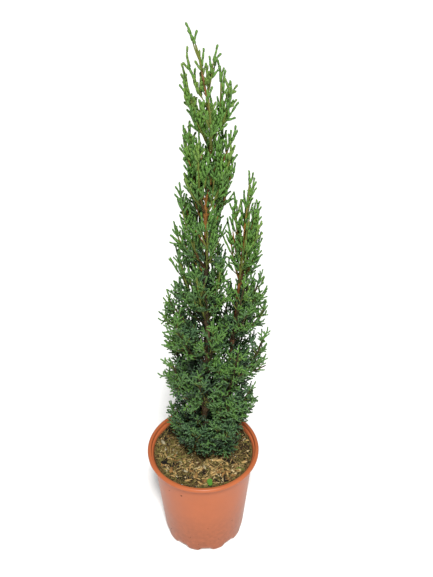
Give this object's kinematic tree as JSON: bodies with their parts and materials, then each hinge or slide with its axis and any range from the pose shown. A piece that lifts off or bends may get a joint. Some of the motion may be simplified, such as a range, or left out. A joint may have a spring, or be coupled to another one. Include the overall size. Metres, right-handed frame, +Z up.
{
  "type": "potted italian cypress",
  "caption": "Young columnar Italian cypress with two leaders and ascending sprays of scale leaves, in soil in a round terracotta-coloured plastic nursery pot.",
  "frame": {"origin": "middle of the pot's flat underside", "axes": "+Z up along the trunk; +X towards the second leader; -Y towards the front"},
  "size_m": [0.1595, 0.15, 0.6979],
  "materials": {
    "pot_plastic": "moulded terracotta-coloured polypropylene, satin",
    "soil": "moist peat with bark chips and fibres, matt",
    "bark": "thin fissured brown bark, matt",
    "young_bark": "smooth orange-brown young bark, matt",
    "foliage": "green scale leaves with a faint waxy sheen"
  },
  "bodies": {
    "root": {"bough_2_3": "young_bark", "bough_2_6": "young_bark", "bough_3_3": "young_bark", "bough_4_3": "young_bark", "bough_5_3": "young_bark", "bough_6_3": "young_bark", "pot": "pot_plastic", "second_bough_2_2": "young_bark", "second_bough_4_2": "young_bark", "second_leader": "young_bark", "second_leader_tip_spray": "foliage", "second_spray_1_1": "foliage", "second_spray_1_2": "foliage", "second_spray_1_3": "foliage", "second_spray_2_1": "foliage", "second_spray_2_2": "foliage", "second_spray_2_3": "foliage", "second_spray_3_1": "foliage", "second_spray_3_2": "foliage", "second_spray_3_3": "foliage", "second_spray_4_1": "foliage", "second_spray_4_2": "foliage", "second_spray_4_3": "foliage", "soil": "soil", "spray_1_1": "foliage", "spray_1_2": "foliage", "spray_1_3": "foliage", "spray_1_4": "foliage", "spray_1_5": "foliage", "spray_1_6": "foliage", "spray_2_1": "foliage", "spray_2_2": "foliage", "spray_2_3": "foliage", "spray_2_4": "foliage", "spray_2_5": "foliage", "spray_2_6": "foliage", "spray_3_1": "foliage", "spray_3_2": "foliage", "spray_3_3": "foliage", "spray_3_4": "foliage", "spray_3_5": "foliage", "spray_4_1": "foliage", "spray_4_2": "foliage", "spray_4_3": "foliage", "spray_4_4": "foliage", "spray_4_5": "foliage", "spray_5_1": "foliage", "spray_5_2": "foliage", "spray_5_3": "foliage", "spray_5_4": "foliage", "spray_6_1": "foliage", "spray_6_2": "foliage", "spray_6_3": "foliage", "spray_6_4": "foliage", "spray_7_1": "foliage", "spray_7_2": "foliage", "spray_7_3": "foliage", "trunk": "bark", "trunk_tip_spray": "foliage"}
  },
  "joints": []
}
